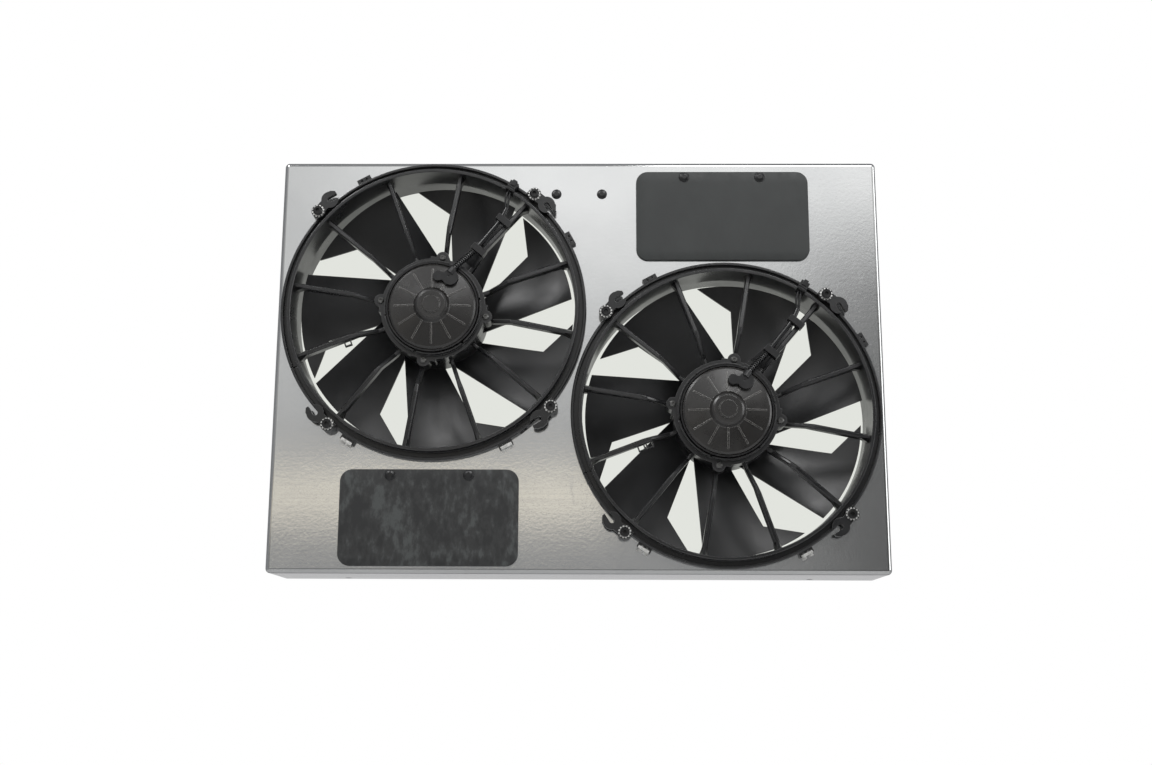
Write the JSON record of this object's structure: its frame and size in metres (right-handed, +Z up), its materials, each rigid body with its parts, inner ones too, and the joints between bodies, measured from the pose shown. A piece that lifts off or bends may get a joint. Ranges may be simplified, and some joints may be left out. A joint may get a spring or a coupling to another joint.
{
  "type": "radiator fan shroud",
  "caption": "Folded aluminium radiator shroud with electric puller fans set diagonally and hinged rubber ram-air flaps in the other corners.",
  "frame": {"origin": "centre of the tray's open rim, in the plane where the shroud meets the radiator", "axes": "+X across the radiator to the right as seen from the engine side, +Y from the engine side towards the radiator, +Z up"},
  "size_m": [0.6604, 0.1203, 0.4572],
  "materials": {
    "tray_aluminium": "satin",
    "frame_plastic": "matte",
    "cover_plastic": "satin",
    "impeller_plastic": "matte",
    "flap_rubber": "matte",
    "lead_rubber": "satin",
    "zinc_steel": "satin",
    "black_steel": "satin",
    "shaft_steel": "brushed",
    "magnet_ferrite": "matte",
    "armature_iron": "satin"
  },
  "bodies": {
    "shroud": {"clinch_nuts": "zinc_steel", "flap_rivets": "frame_plastic", "left_brush_holder": "frame_plastic", "left_ear_screws": "black_steel", "left_fan_ring": "frame_plastic", "left_fan_struts": "frame_plastic", "left_lead_clamps": "frame_plastic", "left_lead_connector": "frame_plastic", "left_lead_grommet": "lead_rubber", "left_motor_bearings": "shaft_steel", "left_motor_can": "black_steel", "left_motor_cover": "cover_plastic", "left_motor_lead": "lead_rubber", "left_motor_magnets": "magnet_ferrite", "left_motor_screws": "zinc_steel", "left_motor_seat": "frame_plastic", "left_spring_clips": "zinc_steel", "left_star_washers": "zinc_steel", "lower_flap_anchor": "flap_rubber", "panel_plugs": "frame_plastic", "right_brush_holder": "frame_plastic", "right_ear_screws": "black_steel", "right_fan_ring": "frame_plastic", "right_fan_struts": "frame_plastic", "right_lead_clamps": "frame_plastic", "right_lead_connector": "frame_plastic", "right_lead_grommet": "lead_rubber", "right_motor_bearings": "shaft_steel", "right_motor_can": "black_steel", "right_motor_cover": "cover_plastic", "right_motor_lead": "lead_rubber", "right_motor_magnets": "magnet_ferrite", "right_motor_screws": "zinc_steel", "right_motor_seat": "frame_plastic", "right_spring_clips": "zinc_steel", "right_star_washers": "zinc_steel", "tray_face": "tray_aluminium", "tray_walls": "tray_aluminium", "upper_flap_anchor": "flap_rubber"},
    "left_rotor": {"left_motor_shaft": "shaft_steel", "left_motor_armature": "armature_iron", "left_impeller": "impeller_plastic", "left_hub_nut": "zinc_steel"},
    "right_rotor": {"right_motor_shaft": "shaft_steel", "right_motor_armature": "armature_iron", "right_impeller": "impeller_plastic", "right_hub_nut": "zinc_steel"},
    "upper_flap_leaf": {"upper_flap": "flap_rubber"},
    "lower_flap_leaf": {"lower_flap": "flap_rubber"}
  },
  "joints": [
    {"name": "left_fan_spin", "type": "hinge", "parent": "shroud", "child": "left_rotor", "pos_m": [-0.15845, -0.0569, 0.05705], "axis": [0, -1, 0], "continuous": true},
    {"name": "right_fan_spin", "type": "hinge", "parent": "shroud", "child": "right_rotor", "pos_m": [0.15845, -0.0569, -0.05705], "axis": [0, -1, 0], "continuous": true},
    {"name": "upper_flap_swing", "type": "hinge", "parent": "shroud", "child": "upper_flap_leaf", "pos_m": [0.15845, -0.0907, 0.20175], "axis": [-1, 0, 0], "range_deg": [0, 75], "stiffness_Nm_per_rad": 0.05},
    {"name": "lower_flap_swing", "type": "hinge", "parent": "shroud", "child": "lower_flap_leaf", "pos_m": [-0.15845, -0.0907, -0.13305], "axis": [-1, 0, 0], "range_deg": [0, 75], "stiffness_Nm_per_rad": 0.05}
  ]
}
